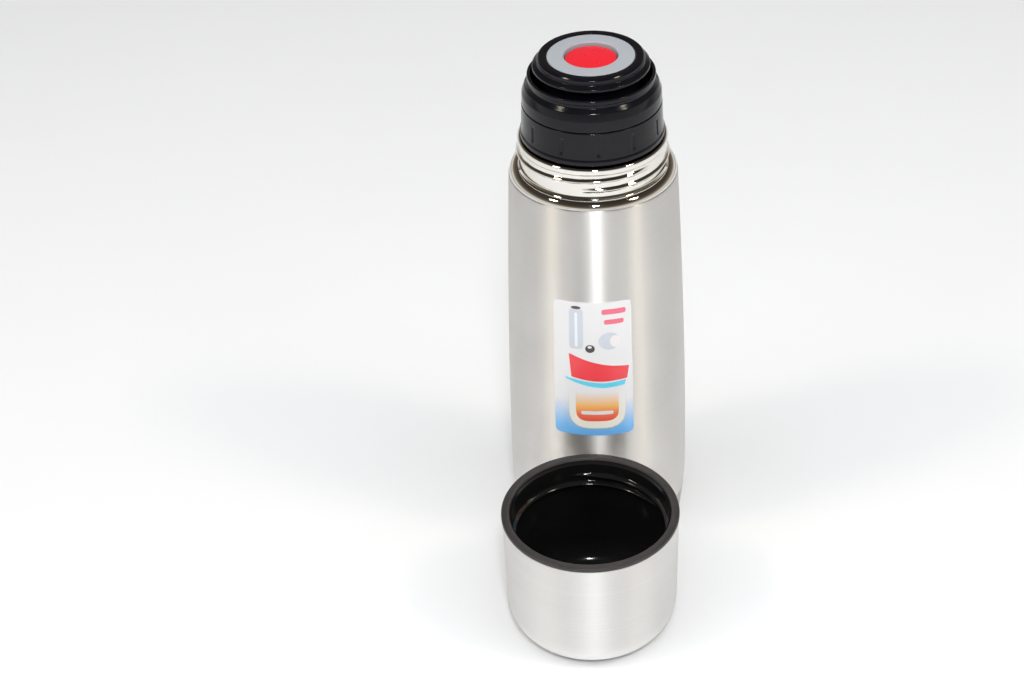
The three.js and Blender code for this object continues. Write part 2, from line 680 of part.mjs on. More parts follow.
// ---------------------------------------------------------------- stopper shell
function stopperPlug() {
  const body = turned([
    point(PLUG_BORE, PLUG_TIP),
    point(STUB_RADIUS + STUB_LIP, PLUG_TIP),
    point(STUB_RADIUS + STUB_LIP, PLUG_TIP + STUB_LIP_HEIGHT),
    point(STUB_RADIUS, PLUG_TIP + STUB_LIP_HEIGHT),
    point(STUB_RADIUS, GASKET_TOP + SEAM),
    point(PLUG_RADIUS, GASKET_TOP + SEAM),
    point(PLUG_RADIUS, STOPPER_BASE),
    point(FLANGE_RADIUS, STOPPER_BASE),
    point(FLANGE_RADIUS, STOPPER_BASE + FLANGE_HEIGHT),
    point(BAND_BOTTOM_RADIUS, STOPPER_BASE + FLANGE_HEIGHT + SEAM),
    point(BAND_TOP_RADIUS, BAND_TOP),
    point(BAND_INNER, BAND_TOP),
    point(BAND_INNER, LEDGE_TOP),
    point(PLUG_RADIUS - PLUG_WALL, LEDGE_TOP),
    point(PLUG_RADIUS - PLUG_WALL, GASKET_TOP + PLUG_WALL),
    point(PLUG_BORE, GASKET_TOP + PLUG_WALL),
  ]);
  const ridge = threadRidge({
    root: PLUG_RADIUS,
    height: STOPPER_RIDGE,
    rootWidth: STOPPER_RIDGE_ROOT,
    crestWidth: STOPPER_RIDGE_CREST,
    pitch: STOPPER_PITCH,
    turns: STOPPER_TURNS,
    start: LIP_HEIGHT - STOPPER_THREAD_DEPTH + STOPPER_PITCH / 2,
    angle: 0,
  });
  return cut(joined(body, ridge), ...gripNotches());
}

function gripNotches() {
  const notches = [];
  const middle = STOPPER_BASE + GRIP_RISE + GRIP_HEIGHT / 2;
  for (let i = 0; i < GRIP_COUNT; i += 1) {
    const notch = new THREE.BoxGeometry(4 * GRIP_DEPTH, GRIP_WIDTH, GRIP_HEIGHT);
    notch.translate(BAND_BOTTOM_RADIUS + GRIP_DEPTH, 0, middle);
    notch.rotateZ((i + GRIP_PHASE) * (TAU / GRIP_COUNT) - TAU / 4);
    notches.push(notch);
  }
  return notches;
}

// The lower gasket rests on the bottle's conical seat.
function plugGasket() {
  const inner = STUB_RADIUS + SEAM;
  const outer = MOUTH_RADIUS - STOPPER_RIDGE - SEAM;
  const cone = THROAT_TOP - THROAT_RADIUS + SEAM * Math.SQRT2;
  return turned([
    point(inner, GASKET_BOTTOM),
    point(GASKET_BOTTOM - cone, GASKET_BOTTOM),
    point(outer, outer + cone),
    point(outer, GASKET_TOP),
    point(inner, GASKET_TOP),
  ]);
}

function stopperCollar() {
  const inner = RIM_RADIUS - COLLAR_WALL;
  const bottom = BAND_TOP + SEAM;
  const shoulder = quarter(
    point(COLLAR_TOP_RADIUS, COLLAR_WALL_TOP),
    point(COLLAR_WAIST_RADIUS, COLLAR_WAIST),
    point(COLLAR_TOP_RADIUS - SEAM, COLLAR_WAIST - COLLAR_TURN),
    CURVE_STEPS,
  );
  return turned([
    point(inner, SLEEVE_BOTTOM),
    point(SLEEVE_RADIUS, SLEEVE_BOTTOM),
    point(SLEEVE_RADIUS, bottom),
    point(COLLAR_RADIUS, bottom),
    ...shoulder,
    point(RIM_RADIUS, RIM_TOP - RIM_HEIGHT),
    point(RIM_RADIUS, RIM_TOP - SEAM),
    point(RIM_RADIUS - SEAM, RIM_TOP),
    point(inner, RIM_TOP),
  ]);
}

function collarSeal() {
  const outer = SLEEVE_RADIUS;
  const middle = ORING_BOTTOM + ORING_HEIGHT / 2;
  const bead = [];
  for (let i = 0; i < BEAD_SIDES; i += 1) {
    const turn = ((i + 0.5) / BEAD_SIDES) * TAU;
    bead.push(point(
      outer - ORING_WIDTH / 2 + (ORING_WIDTH / 2) * Math.cos(turn),
      middle + (ORING_HEIGHT / 2) * Math.sin(turn),
    ));
  }
  return turned(bead, MEDIUM);
}

function topDisc() {
  const skirt = RING_BORE + DISC_SKIRT_WALL;
  const skirtBottom = DISC_TOP - DISC_SKIRT_DEPTH;
  const inner = HOUSING_RADIUS + SEAM;
  return turned([
    point(inner, skirtBottom),
    point(skirt, skirtBottom),
    point(skirt, DISC_TOP - DISC_THICKNESS),
    point(DISC_RADIUS - DISC_EDGE_HEIGHT, DISC_EDGE - DISC_EDGE_HEIGHT),
    point(DISC_RADIUS, DISC_EDGE),
    point(DISC_RADIUS, DISC_EDGE + DISC_EDGE_HEIGHT),
    point(DISC_RIDGE_RADIUS, DISC_TOP - DISC_STEP_DEPTH),
    point(DISC_RIDGE_RADIUS, DISC_TOP - DISC_ROUND),
    point(DISC_RIDGE_RADIUS - DISC_ROUND, DISC_TOP),
    point(RING_BORE, DISC_TOP),
    point(RING_BORE, DISC_SEAT),
    point(inner, DISC_SEAT),
  ]);
}

// ---------------------------------------------------------------- stopper mechanism
function springHousing() {
  const tube = turned([
    point(STEM_HOLE, HOUSING_BOTTOM),
    point(HOUSING_RADIUS, HOUSING_BOTTOM),
    point(HOUSING_RADIUS, HOUSING_TOP),
    point(HOUSING_BORE, HOUSING_TOP),
    point(HOUSING_BORE, HOUSING_SHELF),
    point(STEM_HOLE, HOUSING_SHELF),
  ], MEDIUM);
  const rim = SLEEVE_RADIUS - ORING_WIDTH - PLUG_WALL;
  const flange = ringOf(rim, SLEEVE_RADIUS, WEB_BOTTOM, WEB_BOTTOM + WEB_FLANGE, MEDIUM);
  const spokes = [];
  for (let i = 0; i < SPOKE_COUNT; i += 1) {
    const end = rim + SPOKE_SINK;
    const reach = end - (HOUSING_RADIUS - HOUSING_WALL / 2);
    const spoke = new THREE.BoxGeometry(reach, SPOKE_WIDTH, WEB_FLANGE);
    spoke.translate(end - reach / 2, 0, WEB_BOTTOM + WEB_FLANGE / 2);
    spoke.rotateZ((i + 0.5) * (TAU / SPOKE_COUNT));
    spokes.push(spoke);
  }
  return joined(tube, flange, ...spokes);
}

function closeRing() {
  const sleeve = BUTTON_BORE + RING_SKIRT_WALL;
  return turned([
    point(BUTTON_BORE, RING_SHELF - RING_THICKNESS),
    point(sleeve, RING_SHELF - RING_THICKNESS),
    point(sleeve, RING_SHELF),
    point(RING_RADIUS - RING_SKIRT_WALL, RING_SHELF),
    point(RING_RADIUS - RING_SKIRT_WALL, RING_TOP - RING_SKIRT),
    point(RING_RADIUS, RING_TOP - RING_SKIRT),
    point(RING_RADIUS, RING_TOP - SEAM),
    point(RING_RADIUS - SEAM, RING_TOP),
    point(BUTTON_BORE + SEAM, RING_TOP),
    point(BUTTON_BORE, RING_TOP - SEAM),
  ]);
}

function openButton() {
  return turned([
    point(0, BUTTON_UNDERSIDE - BUTTON_THICKNESS),
    point(STEM_HOLE, BUTTON_UNDERSIDE - BUTTON_THICKNESS),
    point(STEM_HOLE, BOSS_BOTTOM),
    point(BOSS_RADIUS, BOSS_BOTTOM),
    point(BOSS_RADIUS, BUTTON_UNDERSIDE),
    point(BUTTON_RADIUS - BUTTON_WALL, BUTTON_UNDERSIDE),
    point(BUTTON_RADIUS - BUTTON_WALL, BUTTON_BOTTOM),
    point(BUTTON_RADIUS, BUTTON_BOTTOM),
    point(BUTTON_RADIUS, BUTTON_TOP - SEAM),
    point(BUTTON_RADIUS - SEAM, BUTTON_TOP),
    point(0, BUTTON_TOP),
  ], MEDIUM);
}

// The latch ring waits under the button's skirt, and slides sideways to let it up again.
function latchRing() {
  const top = BUTTON_BOTTOM - SEAM;
  const outer = HOUSING_BORE - LATCH_WIDTH;
  return ringOf(outer - LATCH_WIDTH, outer, top - LATCH_THICKNESS, top, MEDIUM);
}

function buttonSpring() {
  const bottom = HOUSING_SHELF + SEAM;
  return coil(SPRING_RADIUS, SPRING_WIRE, bottom, BUTTON_UNDERSIDE - SEAM, SPRING_TURNS);
}

function ringSpring() {
  const middle = HOUSING_RADIUS - HOUSING_WALL / 2;
  return coil(middle, RING_SPRING_WIRE, DISC_SEAT, RING_SHELF - SEAM, RING_SPRING_TURNS);
}

function valveStem() {
  const top = BUTTON_UNDERSIDE - BUTTON_THICKNESS - SLIDE_FIT;
  return turned([
    point(0, BORE_TOP),
    point(STEM_BORE, BORE_TOP),
    point(STEM_BORE, STEM_BOTTOM),
    point(STEM_RADIUS, STEM_BOTTOM),
    point(STEM_RADIUS, top),
    point(0, top),
  ], SMALL);
}

function stemScrew() {
  const head = VALVE_BOTTOM - SLIDE_FIT;
  const shank = STEM_BORE - SLIDE_FIT;
  return turned([
    point(0, head - SCREW_HEAD),
    point(SCREW_RADIUS - SLIDE_FIT, head - SCREW_HEAD),
    point(SCREW_RADIUS, head - SCREW_HEAD + SLIDE_FIT),
    point(SCREW_RADIUS, head),
    point(shank, head),
    point(shank, BORE_TOP - SLIDE_FIT),
    point(0, BORE_TOP - SLIDE_FIT),
  ], SMALL);
}

function valveSeal() {
  return ringOf(STEM_HOLE, VALVE_RADIUS, SEAL_BOTTOM, SEAL_TOP, MEDIUM);
}

function valveDisc() {
  return ringOf(STEM_HOLE, VALVE_RADIUS - VALVE_RIM, VALVE_BOTTOM, VALVE_TOP, MEDIUM);
}

// ---------------------------------------------------------------- cup
// One side of the cup's wall: flat bottom, curved corner, slightly flared side.
function cupOutline(inset, floor, top) {
  const flare = (CUP_SHELL_TOP - CUP_SHELL_SIDE) / (CUP_HEIGHT - CUP_CURVE);
  const side = CUP_SHELL_SIDE - inset;
  return [
    ...quarter(point(CUP_FLAT, floor), point(side, CUP_CURVE), point(side, floor), CURVE_STEPS),
    point(side + (top - CUP_CURVE) * flare, top),
  ];
}

function cupShell() {
  const top = CUP_RIM_BOTTOM - SEAM;
  return turned([
    point(0, 0),
    ...cupOutline(0, 0, top),
    ...cupOutline(STEEL, STEEL, top).reverse(),
    point(0, STEEL),
  ]);
}

function cupLiner() {
  const threadBottom = CUP_RIM_BOTTOM - CUP_THREAD_ZONE;
  const body = turned([
    point(0, CUP_LINER_GAP),
    ...cupOutline(CUP_LINER_GAP, CUP_LINER_GAP, CUP_RIM_BOTTOM),
    point(CUP_RADIUS, CUP_RIM_BOTTOM),
    point(CUP_RADIUS, CUP_HEIGHT - CUP_RIM_ROUND),
    point(CUP_RADIUS - CUP_RIM_ROUND, CUP_HEIGHT),
    point(CUP_MOUTH + CUP_RIM_ROUND / 2, CUP_HEIGHT),
    point(CUP_MOUTH, CUP_HEIGHT - CUP_RIM_ROUND / 2),
    point(CUP_MOUTH, CUP_RIM_BOTTOM),
    point(CUP_THREAD_WALL, CUP_RIM_BOTTOM - SEAM * 2),
    point(CUP_THREAD_WALL, threadBottom),
    ...cupOutline(CUP_FLOOR, CUP_FLOOR, threadBottom - CUP_LINER).reverse(),
    point(0, CUP_FLOOR),
  ]);
  const ridge = threadRidge({
    root: CUP_THREAD_WALL,
    height: -CUP_RIDGE,
    rootWidth: CUP_RIDGE_ROOT,
    crestWidth: CUP_RIDGE_CREST,
    pitch: CUP_PITCH,
    turns: CUP_THREAD_TURNS,
    start: threadBottom + CUP_THREAD_RISE,
    angle: CUP_THREAD_ANGLE,
  });
  return joined(body, ridge);
}

// ---------------------------------------------------------------- assembly
const flask = new THREE.Group();
flask.add(
  piece('outer_shell', outerShell(), 'brushed'),
  piece('outer_base', outerBase(), 'brushed'),
  piece('base_cover', baseCover(), 'brushed'),
  piece('evacuation_plug', evacuationPlug(), 'inside'),
  piece('getter_capsule', getterCapsule(), 'getter'),
  piece('inner_base', innerBase(), 'inside'),
  piece('inner_liner', innerLiner(), 'inside'),
  piece('radiation_foil', radiationFoil(), 'foil'),
  piece('neck_ring', neckRing(), 'polished'),
  piece('front_label', frontLabel(), 'sticker'),
);

const stopper = new THREE.Group();
stopper.add(
  piece('stopper_plug', stopperPlug(), 'black'),
  piece('plug_gasket', plugGasket(), 'silicone'),
  piece('stopper_collar', stopperCollar(), 'black'),
  piece('collar_seal', collarSeal(), 'silicone'),
  piece('spring_housing', springHousing(), 'housing'),
  piece('top_disc', topDisc(), 'black'),
  piece('close_ring', closeRing(), 'grey'),
  piece('ring_spring', ringSpring(), 'inside'),
  piece('latch_ring', latchRing(), 'inside'),
  piece('open_button', openButton(), 'red'),
  piece('button_spring', buttonSpring(), 'inside'),
  piece('valve_stem', valveStem(), 'housing'),
  piece('valve_disc', valveDisc(), 'housing'),
  piece('valve_seal', valveSeal(), 'silicone'),
  piece('stem_screw', stemScrew(), 'inside'),
);
flask.add(stopper);

const cup = new THREE.Group();
cup.position.set(CUP_X, CUP_Y, 0);
cup.add(
  piece('cup_shell', cupShell(), 'brushed'),
  piece('cup_liner', cupLiner(), 'cupBlack'),
);

// The footprint of body and cup is centred on the origin.
function middle(cupCentre) {
  const low = Math.min(-BELLY_RADIUS, cupCentre - CUP_RADIUS);
  const high = Math.max(BELLY_RADIUS, cupCentre + CUP_RADIUS);
  return (low + high) / 2;
}

const vacuumFlask = new THREE.Group();
vacuumFlask.position.set(-middle(CUP_X), -middle(CUP_Y), 0);
vacuumFlask.add(flask, cup);

export default vacuumFlask;
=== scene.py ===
# Looks of the vacuum flask and its cup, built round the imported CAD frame. Lengths below are in
# millimetres in each part's own profile, and are turned into metres where a mesh is made.
import math

import bmesh
import bpy
from mathutils import Matrix, Vector


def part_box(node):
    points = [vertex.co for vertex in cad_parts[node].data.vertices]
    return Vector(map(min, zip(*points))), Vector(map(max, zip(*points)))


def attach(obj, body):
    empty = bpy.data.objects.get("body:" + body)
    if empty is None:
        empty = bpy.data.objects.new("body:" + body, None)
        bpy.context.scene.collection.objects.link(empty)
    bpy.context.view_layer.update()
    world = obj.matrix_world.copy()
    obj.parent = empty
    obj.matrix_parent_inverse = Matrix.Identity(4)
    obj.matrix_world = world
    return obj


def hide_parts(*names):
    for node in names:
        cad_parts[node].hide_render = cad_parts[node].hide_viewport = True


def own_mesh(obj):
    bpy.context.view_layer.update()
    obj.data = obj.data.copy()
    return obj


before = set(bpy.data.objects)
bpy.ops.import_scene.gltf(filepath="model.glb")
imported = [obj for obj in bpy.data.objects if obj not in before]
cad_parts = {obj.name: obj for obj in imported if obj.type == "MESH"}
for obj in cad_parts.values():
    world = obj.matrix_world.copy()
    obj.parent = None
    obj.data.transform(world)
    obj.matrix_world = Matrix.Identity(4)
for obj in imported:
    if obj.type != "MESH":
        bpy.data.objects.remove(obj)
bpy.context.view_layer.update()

MM = 0.001
TAU = 2 * math.pi
SIDES = 192            # round the large turned pieces
FINE_SIDES = 288       # round the pieces with threads or ribs
ON_AXIS = 1e-6         # a radius below this is a point on the axis
SHARP = math.radians(38)


# ------------------------------------------------------------------ places from the frame
def middle_of(node):
    low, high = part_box(node)
    return Vector(((low[0] + high[0]) / 2, (low[1] + high[1]) / 2, 0.0))


def bottom_of(node):
    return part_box(node)[0][2] / MM


def top_of(node):
    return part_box(node)[1][2] / MM


def radius_of(node):
    low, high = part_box(node)
    return (high[0] - low[0]) / 2 / MM


FLASK = middle_of("outer_shell")
CUP = middle_of("cup_shell")

# ------------------------------------------------------------------ sizes shared by several pieces
SEAM = 0.3
STEEL = 0.6
FOOT_RADIUS = 31.1
FOOT_ROUND = 2.2
BELLY_RADIUS = radius_of("outer_shell")
BELLY_HEIGHT = 28
TUBE_TOP = top_of("outer_shell")
TUBE_TOP_RADIUS = 29.4
NECK_RADIUS = 25.6
TAPER_POWER = 1.6
BASE_HEIGHT = bottom_of("outer_shell") - SEAM
CUP_PITCH = 3.6
STOPPER_PITCH = 4
THREAD_WIDTH = 1.9
CUP_THREAD_RIDGE = 1.4
NECK_THREAD_RIDGE = 0.9


def body_radius(height):
    if height < BELLY_HEIGHT:
        below = (BELLY_HEIGHT - height) / BELLY_HEIGHT
        return BELLY_RADIUS - (BELLY_RADIUS - FOOT_RADIUS) * below ** 2
    above = min(1.0, (height - BELLY_HEIGHT) / (TUBE_TOP - BELLY_HEIGHT))
    return BELLY_RADIUS - (BELLY_RADIUS - TUBE_TOP_RADIUS) * above ** TAPER_POWER


# ------------------------------------------------------------------ outlines
def arc(start, corner, end, radius, steps=6):
    """The corner between two straight edges, rounded to the radius."""
    to_start = Vector(start) - Vector(corner)
    to_end = Vector(end) - Vector(corner)
    half = to_start.angle(to_end) / 2
    reach = min(radius / math.tan(half), to_start.length * 0.49, to_end.length * 0.49)
    a = Vector(corner) + to_start.normalized() * reach
    b = Vector(corner) + to_end.normalized() * reach
    points = []
    for i in range(steps + 1):
        t = i / steps
        points.append(a * (1 - t) ** 2 + Vector(corner) * 2 * t * (1 - t) + b * t ** 2)
    return [tuple(p) for p in points]


def quarter(start, end, bulge, steps=14):
    """A quarter of an ellipse between two corners, bulging towards the given corner."""
    points = []
    for i in range(steps + 1):
        turn = TAU / 4 * i / steps
        across, along = 1 - math.cos(turn), math.sin(turn)
        points.append(tuple(
            a + (c - a) * along + (b - c) * across for a, b, c in zip(start, end, bulge)
        ))
    return points


def rounded(corners, closed=True):
    """Corners given as (radius, height) or (radius, height, rounding)."""
    points = []
    count = len(corners)
    for i, corner in enumerate(corners):
        at_end = not closed and i in (0, count - 1)
        if len(corner) < 3 or at_end:
            points.append(tuple(corner[:2]))
            continue
        before = corners[i - 1][:2]
        after = corners[(i + 1) % count][:2]
        points += arc(before, corner[:2], after, corner[2])
    return points


def refined(points, low, high, step=0.15):
    """Adds points on the long edges between two heights, where a thread will stand."""
    out = []
    for here, after in zip(points, points[1:] + points[:1]):
        out.append(here)
        inside = low <= min(here[1], after[1]) and max(here[1], after[1]) <= high
        length = math.dist(here, after)
        if inside and length > step:
            count = int(length / step)
            out += [
                (here[0] + (after[0] - here[0]) * k / count, here[1] + (after[1] - here[1]) * k / count)
                for k in range(1, count)
            ]
    return out


def body_wall(inset, low, high, steps):
    heights = [low + (high - low) * i / steps for i in range(steps + 1)]
    return [(body_radius(h) - inset, h) for h in heights]


# ------------------------------------------------------------------ meshes
def new_object(name, mesh, material):
    for polygon in mesh.polygons:
        polygon.use_smooth = True
    mesh.materials.append(material)
    piece = bpy.data.objects.new(name, mesh)
    bpy.context.collection.objects.link(piece)
    return piece


def sharpen(mesh):
    edit = bmesh.new()
    edit.from_mesh(mesh)
    for edge in edit.edges:
        edge.smooth = not (edge.is_manifold and edge.calc_face_angle() > SHARP)
    edit.to_mesh(mesh)
    edit.free()


def revolve(name, outline, centre, material, sides=SIDES, relief=None):
    """Turns a closed outline, anticlockwise in (radius, height), round an upright axis.

    Points on the axis become single vertices. relief(angle, radius, height) moves a point
    outwards, for threads and ribs.
    """
    closed_loop = outline[0][0] >= ON_AXIS or outline[-1][0] >= ON_AXIS
    vertices = []
    columns = []
    for radius, height in outline:
        if radius < ON_AXIS:
            columns.append([len(vertices)] * sides)
            vertices.append((centre.x, centre.y, height * MM))
            continue
        columns.append(list(range(len(vertices), len(vertices) + sides)))
        for k in range(sides):
            angle = TAU * k / sides
            out = radius + (relief(angle, radius, height) if relief else 0.0)
            vertices.append((
                centre.x + out * math.cos(angle) * MM,
                centre.y + out * math.sin(angle) * MM,
                height * MM,
            ))
    faces = []
    spans = len(outline) if closed_loop else len(outline) - 1
    for j in range(spans):
        low, high = columns[j], columns[(j + 1) % len(outline)]
        for k in range(sides):
            after = (k + 1) % sides
            ring = [low[k], low[after], high[after], high[k]]
            face = list(dict.fromkeys(ring))
            if len(face) > 2:
                faces.append(face)
    mesh = bpy.data.meshes.new(name)
    mesh.from_pydata(vertices, [], faces)
    mesh.update()
    sharpen(mesh)
    return new_object(name, mesh, material)


def thread_relief(height, pitch, start, angle, turns, width=THREAD_WIDTH, fade=0.09):
    """A helical ridge with a soft round crest, which fades at both ends."""
    def relief(turn, radius, level):
        best = 0.0
        base = ((turn - math.radians(angle)) % TAU) / TAU
        for lap in range(int(turns) + 2):
            along = base + lap
            if along > turns:
                break
            off = abs(level - (start + along * pitch)) / (width / 2)
            if off < 1:
                ends = min(1.0, along / fade, (turns - along) / fade)
                soft = ends * ends * (3 - 2 * ends)
                best = max(best, soft * (1 - off * off) ** 1.5)
        return best * height
    return relief


# ------------------------------------------------------------------ materials
class Nodes:
    """A material's node tree, with short ways to add what every finish here uses."""

    def __init__(self, name):
        self.material = bpy.data.materials.new(name)
        self.material.use_nodes = True
        self.tree = self.material.node_tree
        self.tree.nodes.clear()
        self.shader = self.add("ShaderNodeBsdfPrincipled")
        out = self.add("ShaderNodeOutputMaterial")
        self.link(self.shader.outputs["BSDF"], out.inputs["Surface"])
        self.place = self.add("ShaderNodeTexCoord").outputs["Object"]
        self.height = None

    def add(self, kind, **values):
        node = self.tree.nodes.new(kind)
        for key, value in values.items():
            setattr(node, key, value)
        return node

    def link(self, start, end):
        self.tree.links.new(start, end)

    def noise(self, scale, stretch=(1, 1, 1), detail=3.0, rough=0.55):
        mapping = self.add("ShaderNodeMapping")
        mapping.inputs["Scale"].default_value = stretch
        self.link(self.place, mapping.inputs["Vector"])
        noise = self.add("ShaderNodeTexNoise")
        noise.inputs["Scale"].default_value = scale
        noise.inputs["Detail"].default_value = detail
        noise.inputs["Roughness"].default_value = rough
        self.link(mapping.outputs["Vector"], noise.inputs["Vector"])
        return noise.outputs["Fac"]

    def spread(self, value, low, high, start=0.3, end=0.7):
        node = self.add("ShaderNodeMapRange")
        node.inputs["From Min"].default_value = start
        node.inputs["From Max"].default_value = end
        node.inputs["To Min"].default_value = low
        node.inputs["To Max"].default_value = high
        self.link(value, node.inputs["Value"])
        return node.outputs["Result"]

    def blend_colours(self, value, first, second):
        node = self.add("ShaderNodeMix", data_type="RGBA")
        node.inputs["A"].default_value = (*first, 1)
        node.inputs["B"].default_value = (*second, 1)
        self.link(value, node.inputs["Factor"])
        return node.outputs["Result"]

    def colour(self, socket):
        self.link(socket, self.shader.inputs["Base Color"])

    def roughness(self, socket):
        self.link(socket, self.shader.inputs["Roughness"])

    def bump(self, value, distance, strength=1.0):
        node = self.add("ShaderNodeBump")
        node.inputs["Strength"].default_value = strength
        node.inputs["Distance"].default_value = distance * MM
        self.link(value, node.inputs["Height"])
        if self.height is not None:
            self.link(self.height, node.inputs["Normal"])
        self.height = node.outputs["Normal"]
        self.link(self.height, self.shader.inputs["Normal"])

    def set(self, **values):
        for key, value in values.items():
            self.shader.inputs[key.replace("_", " ")].default_value = value


def brushed_steel(name, tone, shade, smooth, coarse, grain=5200, drawn=0.98):
    """Steel brushed round the body: fine level lines, and reflections drawn out upright."""
    m = Nodes(name)
    m.set(Metallic=1.0, Anisotropic=drawn, Anisotropic_Rotation=0.25)
    tangent = m.add("ShaderNodeTangent", direction_type="RADIAL", axis="Z")
    m.link(tangent.outputs["Tangent"], m.shader.inputs["Tangent"])
    lines = m.noise(1.0, (9, 9, grain), detail=3, rough=0.6)
    patches = m.noise(38, detail=3)
    m.colour(m.blend_colours(m.spread(lines, 0, 1), tone, shade))
    m.roughness(m.spread(patches, smooth, coarse))
    m.bump(lines, 0.0015)
    return m.material


def polished_steel(name, tone, shade):
    m = Nodes(name)
    m.set(Metallic=1.0)
    clouds = m.noise(60, detail=4)
    scratches = m.noise(1.0, (90, 90, 1500), detail=4, rough=0.75)
    m.colour(m.blend_colours(m.spread(clouds, 0, 1), tone, shade))
    m.roughness(m.spread(clouds, 0.035, 0.09))
    m.bump(scratches, 0.0012)
    return m.material


def drawn_steel(name, tone, shade):
    m = Nodes(name)
    m.set(Metallic=1.0)
    m.colour(m.blend_colours(m.spread(m.noise(120, detail=5), 0, 1), tone, shade))
    m.roughness(m.spread(m.noise(300, (1, 1, 4)), 0.26, 0.48))
    m.bump(m.noise(900, (1, 1, 6)), 0.01)
    return m.material


def moulded(name, tone, shade, smooth, coarse, grain=0.004, speck=700, **sockets):
    """Moulded plastic: a faint orange-peel skin, uneven gloss and hairline rubs."""
    m = Nodes(name)
    m.set(**sockets)
    clouds = m.noise(55, detail=4)
    rubs = m.noise(1.0, (160, 160, 1900), detail=3, rough=0.8)
    m.colour(m.blend_colours(m.spread(clouds, 0, 1), tone, shade))
    m.roughness(m.spread(clouds, smooth, coarse))
    m.bump(m.noise(speck, detail=2), grain)
    m.bump(rubs, grain * 0.3)
    return m.material


def soft_rubber(name, tone, shade):
    m = Nodes(name)
    m.colour(m.blend_colours(m.spread(m.noise(90), 0, 1), tone, shade))
    m.roughness(m.spread(m.noise(240), 0.5, 0.72))
    m.bump(m.noise(1500), 0.02)
    return m.material


def printed(name, bands, low, high):
    """Ink on the sticker, shaded up its height by a few (place, colour) bands."""
    m = Nodes(name)
    m.set(Coat_Weight=0.35, Coat_Roughness=0.12)
    split = m.add("ShaderNodeSeparateXYZ")
    m.link(m.place, split.inputs["Vector"])
    mottle = m.noise(420, detail=3)
    level = m.spread(split.outputs["Z"], 0, 1, low * MM, high * MM)
    shift = m.add("ShaderNodeMath", operation="MULTIPLY_ADD")
    shift.inputs[1].default_value = 0.03
    m.link(mottle, shift.inputs[0])
    m.link(level, shift.inputs[2])
    ramp = m.add("ShaderNodeValToRGB")
    ramp.color_ramp.elements[0].position = bands[0][0]
    ramp.color_ramp.elements[0].color = (*bands[0][1], 1)
    ramp.color_ramp.elements[1].position = bands[-1][0]
    ramp.color_ramp.elements[1].color = (*bands[-1][1], 1)
    for position, colour in bands[1:-1]:
        ramp.color_ramp.elements.new(position).color = (*colour, 1)
    m.link(shift.outputs["Value"], ramp.inputs["Fac"])
    m.colour(ramp.outputs["Color"])
    m.roughness(m.spread(m.noise(150), 0.3, 0.42))
    m.bump(m.noise(1400), 0.004)
    return m.material


BRUSHED = brushed_steel("brushed_steel", (0.97, 0.955, 0.935), (0.92, 0.905, 0.885), 0.42, 0.47)
CUP_STEEL = brushed_steel(
    "brushed_cup_steel", (0.92, 0.915, 0.91), (0.86, 0.855, 0.85), 0.44, 0.50, grain=4300, drawn=0.9)
BASE_STEEL = brushed_steel(
    "brushed_base_steel", (0.80, 0.775, 0.75), (0.74, 0.715, 0.69), 0.42, 0.48, grain=4300)
POLISHED = polished_steel("polished_steel", (0.84, 0.82, 0.78), (0.76, 0.735, 0.69))
INNER_STEEL = drawn_steel("inner_steel", (0.62, 0.61, 0.59), (0.5, 0.49, 0.47))
FOIL = drawn_steel("bright_foil", (0.86, 0.86, 0.87), (0.74, 0.74, 0.75))
GETTER = drawn_steel("getter_metal", (0.25, 0.25, 0.25), (0.16, 0.16, 0.16))
BLACK = moulded(
    "black_plastic", (0.004, 0.004, 0.006), (0.007, 0.007, 0.010), 0.11, 0.17, Specular_IOR_Level=0.26)
CUP_BLACK = moulded(
    "cup_plastic", (0.006, 0.006, 0.006), (0.009, 0.009, 0.010), 0.08, 0.15, Specular_IOR_Level=0.4)
CUP_RIM = moulded("cup_rim_plastic", (0.030, 0.027, 0.028), (0.038, 0.034, 0.035), 0.32, 0.44, grain=0.01)
GREY = moulded("grey_plastic", (0.36, 0.385, 0.42), (0.325, 0.35, 0.385), 0.3, 0.42, grain=0.006)
RED = moulded("red_plastic", (0.72, 0.018, 0.034), (0.63, 0.013, 0.026), 0.24, 0.36, grain=0.006)
WHITE = moulded("white_plastic", (0.66, 0.66, 0.63), (0.58, 0.58, 0.55), 0.4, 0.55, grain=0.01)
SILICONE = soft_rubber("silicone", (0.70, 0.70, 0.67), (0.6, 0.6, 0.57))


# ------------------------------------------------------------------ flask body
def make_body():
    bottom = BASE_HEIGHT + SEAM / 2
    outside = body_wall(0, bottom + 0.25, TUBE_TOP - 0.8, 48)
    top = [
        (TUBE_TOP_RADIUS, TUBE_TOP - 0.5),
        (TUBE_TOP_RADIUS - 0.1, TUBE_TOP - 0.15),
        (TUBE_TOP_RADIUS - 0.4, TUBE_TOP),
        (TUBE_TOP_RADIUS - STEEL, TUBE_TOP - 0.1),
    ]
    inside = body_wall(STEEL, bottom, TUBE_TOP - 0.8, 12)[::-1]
    foot = [(body_radius(bottom) - 0.25, bottom)]
    tube = revolve("body_tube", foot + outside + top + inside, FLASK, BRUSHED)
    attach(tube, "flask")
    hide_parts("outer_shell")


